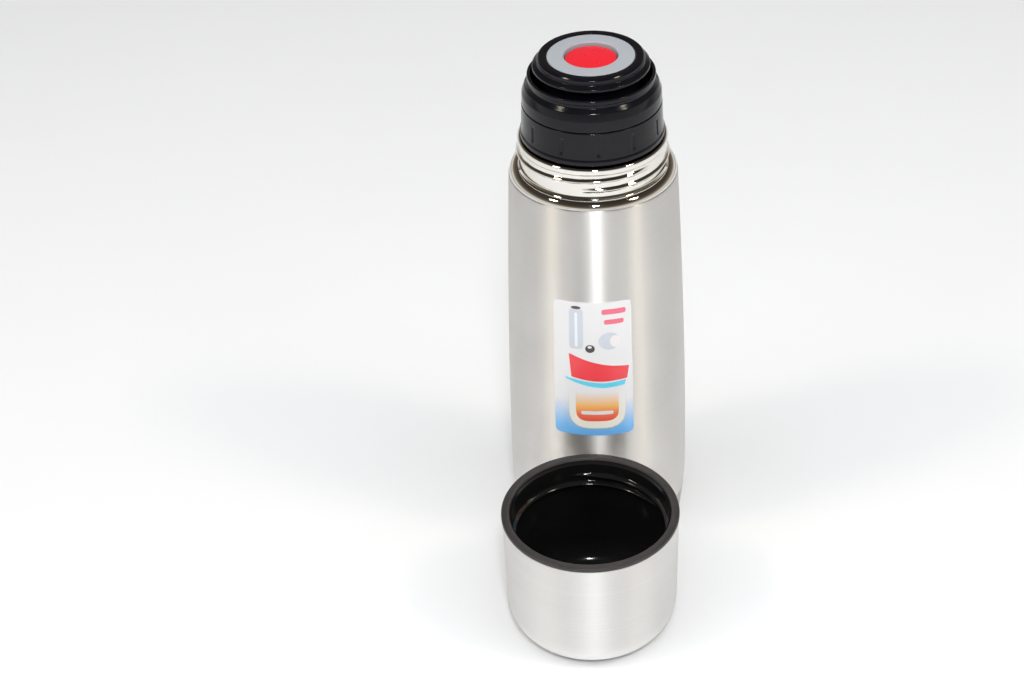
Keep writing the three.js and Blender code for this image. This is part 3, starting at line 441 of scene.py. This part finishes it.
def make_base():
    ring_inner, recess, sheet, hole = 24, 3.4, 0.8, 1.6
    weld = body_radius(BASE_HEIGHT)
    heel = FOOT_RADIUS - FOOT_ROUND
    side = body_radius(FOOT_ROUND)
    foot = rounded([(heel - 2, 0), (side, 0, FOOT_ROUND), (side, 4)], closed=False)[:-1]
    outline = [(ring_inner + 0.6, 0)] + foot + body_wall(0, FOOT_ROUND + 0.3, BASE_HEIGHT - 0.3, 10)
    outline += [
        (weld - 0.25, BASE_HEIGHT),
        (weld - 0.9, BASE_HEIGHT),
        (weld - 0.9, BASE_HEIGHT + 2),
        (weld - 1.5, BASE_HEIGHT + 2),
        (side - 1.5, 3.2),
        (heel, sheet),
        (ring_inner + sheet + 0.4, sheet),
        (ring_inner, recess + sheet),
        (hole, recess + sheet),
        (hole, recess),
        (ring_inner - sheet - 0.4, recess),
        (ring_inner - sheet, recess - 0.4),
        (ring_inner, 0.4),
    ]
    base = revolve("body_base", outline, FLASK, BASE_STEEL)
    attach(base, "flask")
    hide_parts("outer_base")


def make_base_cover():
    radius = radius_of("base_cover")
    low, high = bottom_of("base_cover"), top_of("base_cover")
    outline = [(0, low + 0.25), (6, low + 0.25), (6.4, low), (radius - 1.6, low)]
    outline += [(radius - 1.2, low + 0.2), (radius, low + 0.25), (radius, high), (0, high)]
    cover = revolve("base_cover_plate", outline, FLASK, BASE_STEEL)
    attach(cover, "flask")
    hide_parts("base_cover")


def make_neck():
    skirt = TUBE_TOP_RADIUS - STEEL - SEAM
    shoulder, base, lip = TUBE_TOP + SEAM, TUBE_TOP + 3.0, top_of("neck_ring")
    root, inner, mouth = NECK_RADIUS, NECK_RADIUS - 0.8, 22.7
    outline = [(skirt, TUBE_TOP - 2.2), (skirt, shoulder - 0.2)]
    outline += quarter((29.2, shoulder - 0.1), (26.3, base), (28.9, base))
    outline += rounded([
        (26.1, base),
        (root, base + 0.7, 0.5),
        (root, lip - 2.6, 0.4),
        (root + 0.25, lip - 2.0, 0.5),
        (root + 0.25, lip - 0.5, 0.7),
        (root - 0.35, lip, 0.5),
        (mouth, lip, 0.25),
        (mouth, lip - 0.5),
        (inner, lip - 0.5),
        (inner, base - 0.6),
        (skirt - STEEL, TUBE_TOP - 0.3),
        (skirt - STEEL, TUBE_TOP - 2.2),
    ], closed=False)
    outline = refined(outline, base + 0.5, lip - 1.8)
    thread = thread_relief(NECK_THREAD_RIDGE, CUP_PITCH, base + 2.9, -106, 1.2)

    def outside(angle, radius, height):
        return thread(angle, radius, height) if radius > 25.2 else 0

    neck = revolve("neck", outline, FLASK, POLISHED, FINE_SIDES, outside)
    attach(neck, "flask")
    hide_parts("neck_ring")


# ------------------------------------------------------------------ stopper
def make_plug():
    tip, band_top = bottom_of("stopper_plug"), top_of("stopper_plug")
    flange, gasket_top, thread_start = 164.2, 145.6, 150.5
    root, stub, bore, band_inner, plug_inner = 20.9, 17.9, 15.5, 22.3, 18.9
    outline = rounded([
        (bore, tip),
        (stub + 1, tip, 0.3),
        (stub + 1, tip + 1.6),
        (stub, tip + 1.6),
        (stub, gasket_top + SEAM),
        (root, gasket_top + SEAM, 0.4),
        (root, flange),
        (24.9, flange, 0.35),
        (24.9, flange + 1.5, 0.5),
        (24.5, flange + 2.2, 0.3),
        (24.3, flange + 4.5),
        (24.0, band_top, 0.35),
        (band_inner, band_top),
        (band_inner, flange + 2.3),
        (plug_inner, flange + 2.3),
        (plug_inner, gasket_top + 2),
        (bore, gasket_top + 2),
    ])
    outline = refined(refined(outline, tip + 7, flange), flange + 2, band_top, 0.4)
    thread = thread_relief(1.0, STOPPER_PITCH, thread_start, 0, 1.5)
    thread_inner, thread_outer = 20.5, 21.2
    low, high, depth, width, step = 167.6, 173.4, 0.4, 1.1, TAU / 12

    def relief(angle, radius, height):
        if radius > 23.5 and low - 1 < height < high + 1:
            shift = (angle - 0.15 * step + TAU / 4) % step
            across = min(shift, step - shift) * radius
            ends = min(1.0, max(0.0, (height - low) / 0.5), max(0.0, (high - height) / 0.5))
            return -depth * ends * max(0.0, 1 - (across / (width * 0.6)) ** 4)
        return thread(angle, radius, height) if thread_inner < radius < thread_outer else 0.0

    plug = revolve("stopper_body", outline, FLASK, BLACK, 2 * FINE_SIDES, relief)
    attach(plug, "stopper")
    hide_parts("stopper_plug")


def make_collar():
    seam, rim = top_of("stopper_plug") + SEAM, top_of("stopper_collar")
    inner, sleeve, waist, outer = 20.5, 22.0, 21.35, 21.8
    outline = rounded([
        (inner, bottom_of("stopper_collar")),
        (sleeve, bottom_of("stopper_collar")),
        (sleeve, seam),
        (23.95, seam, 0.3),
        (23.75, rim - 6.7, 1.5),
        (22.8, rim - 4.1, 1.2),
        (waist, rim - 2.8, 0.7),
        (waist, rim - 1.8, 0.35),
        (outer, rim - 1.4, 0.25),
        (outer, rim, 0.5),
        (20.9, rim, 0.4),
        (inner, rim - 0.9, 0.5),
    ])
    collar = revolve("pouring_collar", outline, FLASK, BLACK)
    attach(collar, "stopper")
    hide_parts("stopper_collar")


def make_disc():
    bore, inner, top = 15.2, 13.3, top_of("top_disc")
    seat, under = top - 7.9, top - 4.9
    outline = rounded([
        (inner, bottom_of("top_disc")),
        (bore + 1.2, bottom_of("top_disc"), 0.3),
        (bore + 1.2, under, 0.4),
        (19.6, top - 4.1, 0.3),
        (19.95, top - 3.7, 0.3),
        (19.9, top - 2.9, 0.5),
        (18.3, top - 2.2, 0.4),
        (18.1, top - 1.6, 0.3),
        (18.2, top - 0.6, 0.5),
        (17.6, top, 0.5),
        (bore, top, 0.2),
        (bore, seat),
        (inner, seat),
    ])
    disc = revolve("stopper_disc", outline, FLASK, BLACK)
    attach(disc, "stopper")
    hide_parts("top_disc")


def make_ring():
    bore, outer, top = 9.2, radius_of("close_ring"), top_of("close_ring")
    outline = rounded([
        (bore, top - 3.6),
        (bore + 1.2, top - 3.6),
        (bore + 1.2, top - 1.8),
        (outer - 1.2, top - 1.8),
        (outer - 1.2, top - 5),
        (outer, top - 5),
        (outer, top, 0.35),
        (bore, top, 0.4),
    ])
    ring = revolve("release_ring", outline, FLASK, GREY)
    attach(ring, "ring")
    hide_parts("close_ring")


def make_button():
    outer, top = radius_of("open_button"), top_of("open_button")
    under, skirt, boss, bottom, socket = top - 2.2, outer - 1.25, top - 7.9, top - 10.6, 2.3
    outline = rounded([
        (0, under - 2.2),
        (socket, under - 2.2),
        (socket, boss),
        (socket + 1, boss),
        (socket + 1, under),
        (skirt, under),
        (skirt, bottom),
        (outer, bottom),
        (outer, top, 0.4),
        (0, top),
    ], closed=False)
    button = revolve("red_button", outline, FLASK, RED, 96)
    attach(button, "button")
    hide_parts("open_button")


# ------------------------------------------------------------------ cup
def cup_wall(inset, floor, top, steps=14):
    """One side of the cup's wall: flat bottom, curved corner, slightly flared side."""
    flat, curve, side, flare = 21.5, 12.5, 30.5 - inset, 0.5 / 36.6
    points = []
    for i in range(steps + 1):
        turn = TAU / 4 * i / steps
        rise = (curve - floor) * (1 - math.cos(turn))
        points.append((flat + (side - flat) * math.sin(turn), floor + rise))
    return points + [(side + (top - curve) * flare, top)]


def make_cup():
    top = top_of("cup_shell")
    outline = [(0, 0)] + cup_wall(0, 0, top) + cup_wall(STEEL, STEEL, top)[::-1] + [(0, STEEL)]
    shell = revolve("cup_outside", outline, CUP, CUP_STEEL)
    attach(shell, "cup")
    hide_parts("cup_shell")


def make_cup_liner():
    gap, wall = STEEL + SEAM, 1.7
    outer, top = radius_of("cup_liner"), top_of("cup_liner")
    rim = top_of("cup_shell") + SEAM
    mouth, thread_wall, zone = outer - 3.1, outer - 3.7, rim - 11
    side = cup_wall(gap, gap, rim)[-1][0]
    upper = rounded([
        (side, rim - 4),
        (side, rim),
        (outer, rim, 0.4),
        (outer, top, 0.9),
        (mouth + 0.4, top, 0.9),
        (mouth, top - 0.9, 0.5),
        (mouth, rim + 0.3, 0.2),
        (thread_wall, rim - 0.6, 0.5),
        (thread_wall, zone, 0.3),
        (mouth - 0.1, zone - 1, 0.3),
        (mouth - 0.05, zone - 2),
    ], closed=False)
    outline = [(0, gap)] + cup_wall(gap, gap, rim - 5)
    outline += upper + cup_wall(gap + wall, gap + wall, zone - 3)[::-1] + [(0, gap + wall)]
    outline = refined(outline, zone - 1, rim, 0.2)
    thread = thread_relief(CUP_THREAD_RIDGE, CUP_PITCH, zone + 1.2, 20, 1.25)

    def inside(angle, radius, height):
        return -thread(angle, radius, height) if radius < mouth - 0.2 else 0

    liner = revolve("cup_inside", outline, CUP, CUP_BLACK, FINE_SIDES, inside)
    liner.data.materials.append(CUP_RIM)
    for polygon in liner.data.polygons:
        centre = polygon.center
        away = math.hypot(centre.x - CUP.x, centre.y - CUP.y) / MM
        if centre.z / MM > rim - 0.2 and away > mouth + 0.05:
            polygon.material_index = 1
    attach(liner, "cup")
    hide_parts("cup_liner")


# ------------------------------------------------------------------ sticker
LABEL_LEFT, LABEL_RIGHT = -28, 23
LABEL_BOTTOM, LABEL_TOP = bottom_of("front_label"), top_of("front_label")
LABEL_HEIGHT = LABEL_TOP - LABEL_BOTTOM
ART_WIDTH, ART_HEIGHT = 28.5, 58.5      # the flat artwork, stretched to fit the sticker


def on_body(across, up, lift):
    """A point of the flat artwork, from its lower left corner, bent round the body."""
    height = LABEL_BOTTOM + up * LABEL_HEIGHT / ART_HEIGHT
    bearing = math.radians(LABEL_LEFT - 90 + (LABEL_RIGHT - LABEL_LEFT) * across / ART_WIDTH)
    radius = (body_radius(height) + lift) * MM
    return (FLASK.x + radius * math.cos(bearing), FLASK.y + radius * math.sin(bearing), height * MM)


def sheet_mesh(name, outlines, lift, thickness):
    edit = bmesh.new()
    for outline in outlines:
        edit.faces.new([edit.verts.new((x, y, 0)) for x, y in outline])
    for axis, size in ((0, ART_WIDTH), (1, ART_HEIGHT)):
        steps = 40 if axis == 0 else 12
        for k in range(1, steps):
            at = Vector((0, 0, 0))
            at[axis] = size * k / steps
            normal = Vector((0, 0, 0))
            normal[axis] = 1
            everything = edit.verts[:] + edit.edges[:] + edit.faces[:]
            bmesh.ops.bisect_plane(edit, geom=everything, plane_co=at, plane_no=normal)
    bmesh.ops.recalc_face_normals(edit, faces=edit.faces)
    for face in edit.faces:
        if face.normal.z < 0:
            face.normal_flip()
    solid = bmesh.ops.extrude_face_region(edit, geom=edit.faces[:])
    for vertex in (v for v in solid["geom"] if isinstance(v, bmesh.types.BMVert)):
        vertex.co.z = thickness
    bmesh.ops.recalc_face_normals(edit, faces=edit.faces)
    for vertex in edit.verts:
        vertex.co = on_body(vertex.co.x, vertex.co.y, lift + vertex.co.z)
    mesh = bpy.data.meshes.new(name)
    edit.to_mesh(mesh)
    edit.free()
    sharpen(mesh)
    return mesh


def curve_through(points, steps=8):
    """A smooth line through a few points."""
    line = []
    ends = [points[0]] + list(points) + [points[-1]]
    for before, a, b, after in zip(ends, ends[1:], ends[2:], ends[3:]):
        for k in range(steps):
            t = k / steps
            line.append(tuple(
                0.5 * (2 * p1 + (p2 - p0) * t + (2 * p0 - 5 * p1 + 4 * p2 - p3) * t ** 2
                       + (3 * p1 - p0 - 3 * p2 + p3) * t ** 3)
                for p0, p1, p2, p3 in zip(before, a, b, after)
            ))
    return line + [points[-1]]


def box_outline(left, bottom, right, top, rounding):
    corners = ((left, bottom), (right, bottom), (right, top), (left, top))
    return rounded([(*corner, rounding) for corner in corners])


def cup_outline(left, right, bottom, top, rounding):
    return rounded([(left, top), (left, bottom, rounding), (right, bottom, rounding), (right, top)])


def oval(x, y, width, height, steps=28):
    return [
        (x + width / 2 * math.cos(TAU * k / steps), y + height / 2 * math.sin(TAU * k / steps))
        for k in range(steps)
    ]


def add_print(name, outlines, layer, material):
    mesh = sheet_mesh(name, outlines, 0.14 + 0.012 * layer, 0.01)
    ink = new_object(name, mesh, material)
    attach(ink, "flask")


def plain_ink(name, colour, edge=None):
    return printed(name, [(0, edge or colour), (1, colour)], LABEL_BOTTOM, LABEL_TOP)


WHITE_INK = (0.80, 0.80, 0.82)


def make_sticker():
    shades = [(0, (0.13, 0.45, 0.93)), (0.09, (0.22, 0.54, 0.95)), (0.29, WHITE_INK), (1, WHITE_INK)]
    paper = printed("sticker_paper", shades, LABEL_BOTTOM, LABEL_TOP)
    outline = box_outline(0, 0, ART_WIDTH, ART_HEIGHT, 2.2)
    sheet = new_object("sticker", sheet_mesh("sticker", [outline], 0.03, 0.1), paper)
    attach(sheet, "flask")
    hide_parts("front_label")


def print_bands():
    band = curve_through([(5.6, 36.4), (13, 33.4), (20, 31.4), (27.2, 30.2)])
    band += curve_through([(26.4, 24.8), (18, 24.4), (12, 25.0), (6.4, 26.2)])
    add_print("print_band", [band[::-1]], 1, plain_ink("ink_red", (0.86, 0.055, 0.07)))
    strip = curve_through([(4.1, 25.9), (12, 24.4), (19, 23.7), (26.0, 24.4)])
    strip += curve_through([(25.4, 22.1), (18, 21.6), (11, 22.8), (4.4, 25.0)])
    add_print("print_strip", [strip[::-1]], 2, plain_ink("ink_cyan", (0.13, 0.66, 0.86)))


def print_cup():
    """The pictured cup section: a grey edge, a cream wall, a warm glow and a white bar."""
    base = LABEL_BOTTOM
    cream = printed("ink_cream", [(0, (0.93, 0.90, 0.78)), (1, WHITE_INK)], base + 3, base + 20)
    edge = printed("ink_edge", [(0, (0.55, 0.57, 0.60)), (1, WHITE_INK)], base + 4, base + 19)
    add_print("print_cup_edge", [cup_outline(5.2, 25.8, 3.1, 19.6, 7.4)], 1, edge)
    add_print("print_cup", [cup_outline(5.5, 25.5, 3.4, 19.5, 7.2)], 2, cream)
    warm = [(0, (0.88, 0.09, 0.07)), (0.25, (0.90, 0.20, 0.10)), (0.5, (0.95, 0.50, 0.14)), (1, WHITE_INK)]
    glow = printed("ink_glow", warm, base + 6.6, base + 19.4)
    add_print("print_glow", [cup_outline(7.9, 23.1, 6.6, 19.4, 4.4)], 3, glow)
    add_print("print_bar", [box_outline(9.8, 9.6, 21.2, 11.2, 0.7)], 4, plain_ink("ink_white", WHITE_INK))


def print_pictures():
    """Two red bars, and the pictured flask, caps and cup."""
    bars = [box_outline(17.6, 53.4, 26.4, 55.6, 0.9), box_outline(18.4, 49.2, 25.6, 51.2, 0.9)]
    add_print("print_figures", bars, 1, plain_ink("ink_soft_red", (0.86, 0.16, 0.24)))
    pale = plain_ink("ink_pale_grey", (0.62, 0.66, 0.74), (0.55, 0.60, 0.68))
    light = plain_ink("ink_light", (0.84, 0.88, 0.93), (0.80, 0.86, 0.92))
    dark = plain_ink("ink_dark", (0.06, 0.06, 0.07), (0.03, 0.03, 0.035))
    inside = plain_ink("ink_mouth", (0.86, 0.82, 0.82), (0.8, 0.78, 0.78))
    add_print("print_pictured_flask", [box_outline(5.9, 38.6, 10.9, 55.8, 1.4)], 1, pale)
    add_print("print_pictured_light", [box_outline(7.9, 39.6, 8.9, 54.2, 0.5)], 2, light)
    add_print("print_pictured_caps", [oval(13.3, 38.9, 3.4, 3.4), oval(8.4, 56.3, 3.6, 1.3)], 2, dark)
    add_print("print_pictured_cup", [oval(20.2, 42.0, 7.6, 7.4)], 1, pale)
    add_print("print_pictured_mouth", [oval(22.3, 41.8, 3.8, 5.0), oval(13.2, 39.6, 1.5, 1.1)], 3, inside)


# ------------------------------------------------------------------ springs
def make_spring(name, node, wire, turns):
    """A round wire wound round the stopper's axis."""
    low, high, middle = bottom_of(node), top_of(node), radius_of(node) - wire
    around, along = 12, round(turns * 48)
    vertices, faces = [], []
    for i in range(along + 1):
        turn = TAU * turns * i / along
        height = low + wire + (high - low - 2 * wire) * i / along
        for k in range(around):
            roll = TAU * k / around
            away = (middle + wire * math.cos(roll)) * MM
            level = (height + wire * math.sin(roll)) * MM
            vertices.append((FLASK.x + away * math.cos(turn), FLASK.y + away * math.sin(turn), level))
    for i in range(along):
        for k in range(around):
            a, b = i * around + k, i * around + (k + 1) % around
            faces.append((a, a + around, b + around, b))
    faces.append(tuple(range(around)))
    faces.append(tuple(range(len(vertices) - 1, len(vertices) - around - 1, -1)))
    mesh = bpy.data.meshes.new(name)
    mesh.from_pydata(vertices, [], faces)
    sharpen(mesh)
    spring = new_object(name, mesh, INNER_STEEL)
    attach(spring, "stopper")
    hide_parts(node)
    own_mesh(spring)


# ------------------------------------------------------------------ pieces that stay as the CAD made them
def finish_inner_pieces():
    inner = {
        "inner_liner": INNER_STEEL,
        "inner_base": INNER_STEEL,
        "radiation_foil": FOIL,
        "getter_capsule": GETTER,
        "evacuation_plug": INNER_STEEL,
        "plug_gasket": SILICONE,
        "collar_seal": SILICONE,
        "valve_seal": SILICONE,
        "spring_housing": BLACK,
        "valve_stem": WHITE,
        "valve_disc": WHITE,
        "stem_screw": INNER_STEEL,
        "latch_ring": INNER_STEEL,
    }
    for node, material in inner.items():
        piece = bpy.data.objects[node]
        for place in piece.material_slots:
            place.material = material


# ------------------------------------------------------------------ floor, light and camera
def make_floor():
    m = Nodes("floor_paper")
    m.colour(m.blend_colours(m.spread(m.noise(3), 0, 1), (0.81, 0.822, 0.84), (0.825, 0.837, 0.855)))
    m.roughness(m.spread(m.noise(40), 0.75, 0.9))
    size = 6.0
    mesh = bpy.data.meshes.new("floor")
    corners = [(-size, -size, 0), (size, -size, 0), (size, size, 0), (-size, size, 0)]
    mesh.from_pydata(corners, [], [(0, 1, 2, 3)])
    floor = new_object("floor", mesh, m.material)


def make_light(name, bearing, elevation, distance, size, power, colour=(1, 1, 1), shiny=True):
    """An area light aimed at the middle of the flask. Bearing 0 is towards the camera."""
    aim = Vector((FLASK.x, FLASK.y, 0.1))
    turn = math.radians(bearing - 90)
    rise = math.radians(elevation)
    away = Vector((math.cos(turn) * math.cos(rise), math.sin(turn) * math.cos(rise), math.sin(rise)))
    data = bpy.data.lights.new(name, "AREA")
    data.shape = "DISK"
    data.size = size
    data.energy = power
    data.color = colour
    light = bpy.data.objects.new(name, data)
    light.location = aim + away * distance
    light.rotation_euler = (-away).to_track_quat("-Z", "Y").to_euler()
    light.visible_glossy = shiny
    bpy.context.collection.objects.link(light)


def make_world():
    world = bpy.data.worlds.new("studio")
    bpy.context.scene.world = world
    world.use_nodes = True
    tree = world.node_tree
    tree.nodes.clear()
    place = tree.nodes.new("ShaderNodeTexCoord")
    split = tree.nodes.new("ShaderNodeSeparateXYZ")
    ramp = tree.nodes.new("ShaderNodeValToRGB")
    back = tree.nodes.new("ShaderNodeBackground")
    out = tree.nodes.new("ShaderNodeOutputWorld")
    tree.links.new(place.outputs["Generated"], split.inputs["Vector"])
    tree.links.new(split.outputs["Z"], ramp.inputs["Fac"])
    tree.links.new(ramp.outputs["Color"], back.inputs["Color"])
    tree.links.new(back.outputs["Background"], out.inputs["Surface"])
    bands = [(0.0, (0.95, 0.96, 0.98)), (0.12, (0.66, 0.64, 0.60)), (0.30, (0.20, 0.165, 0.115)),
             (0.55, (0.06, 0.05, 0.04)), (1.0, (0.03, 0.03, 0.03))]
    stops = ramp.color_ramp.elements
    stops[0].position, stops[0].color = bands[0][0], (*bands[0][1], 1)
    stops[1].position, stops[1].color = bands[-1][0], (*bands[-1][1], 1)
    for position, colour in bands[1:-1]:
        stops.new(position).color = (*colour, 1)
    back.inputs["Strength"].default_value = 1.0


def make_lights():
    cool, warm = (0.95, 0.975, 1.0), (1.0, 0.88, 0.70)
    make_light("soft_overhead", 0, 82, 2.1, 2.4, 35, cool, shiny=False)
    make_light("soft_left", -70, 38, 1.8, 1.6, 8, cool, shiny=False)
    make_light("soft_right", 70, 38, 1.8, 1.6, 8.5, cool, shiny=False)
    make_light("flash", 2.5, 46, 0.85, 0.09, 2.2)
    make_light("lamp_left", -68, 50, 1.5, 0.22, 3.0, warm)
    make_light("lamp_right", 68, 50, 1.5, 0.22, 3.0, warm)


def make_camera():
    """Looks down at the flask from in front: distance and height from the flask's foot."""
    distance, height = 606.5, 509.8
    yaw, pitch, roll = math.radians(-2.94), math.radians(35.55), math.radians(2.85)
    forward = Vector((math.sin(yaw) * math.cos(pitch), math.cos(yaw) * math.cos(pitch), -math.sin(pitch)))
    level = Vector((math.cos(yaw), -math.sin(yaw), 0))
    down = forward.cross(level)
    right = level * math.cos(roll) + down * math.sin(roll)
    lower = down * math.cos(roll) - level * math.sin(roll)
    data = bpy.data.cameras.new("camera")
    data.sensor_width = 36
    data.lens = 71.1
    data.clip_start = 0.01
    camera = bpy.data.objects.new("camera", data)
    turn = Matrix((right, -lower, -forward)).transposed().to_4x4()
    camera.matrix_world = Matrix.Translation(FLASK + Vector((0, -distance * MM, height * MM))) @ turn
    bpy.context.collection.objects.link(camera)
    bpy.context.scene.camera = camera


make_camera()
make_floor()
make_world()
make_lights()
make_body()
make_base()
make_base_cover()
make_neck()
make_plug()
make_collar()
make_disc()
make_ring()
make_button()
make_cup()
make_cup_liner()
make_sticker()
print_bands()
print_cup()
print_pictures()
make_spring("button_coil", "button_spring", 0.5, 6)
make_spring("ring_coil", "ring_spring", 0.35, 3)
finish_inner_pieces()
bpy.context.scene.view_settings.view_transform = "Standard"
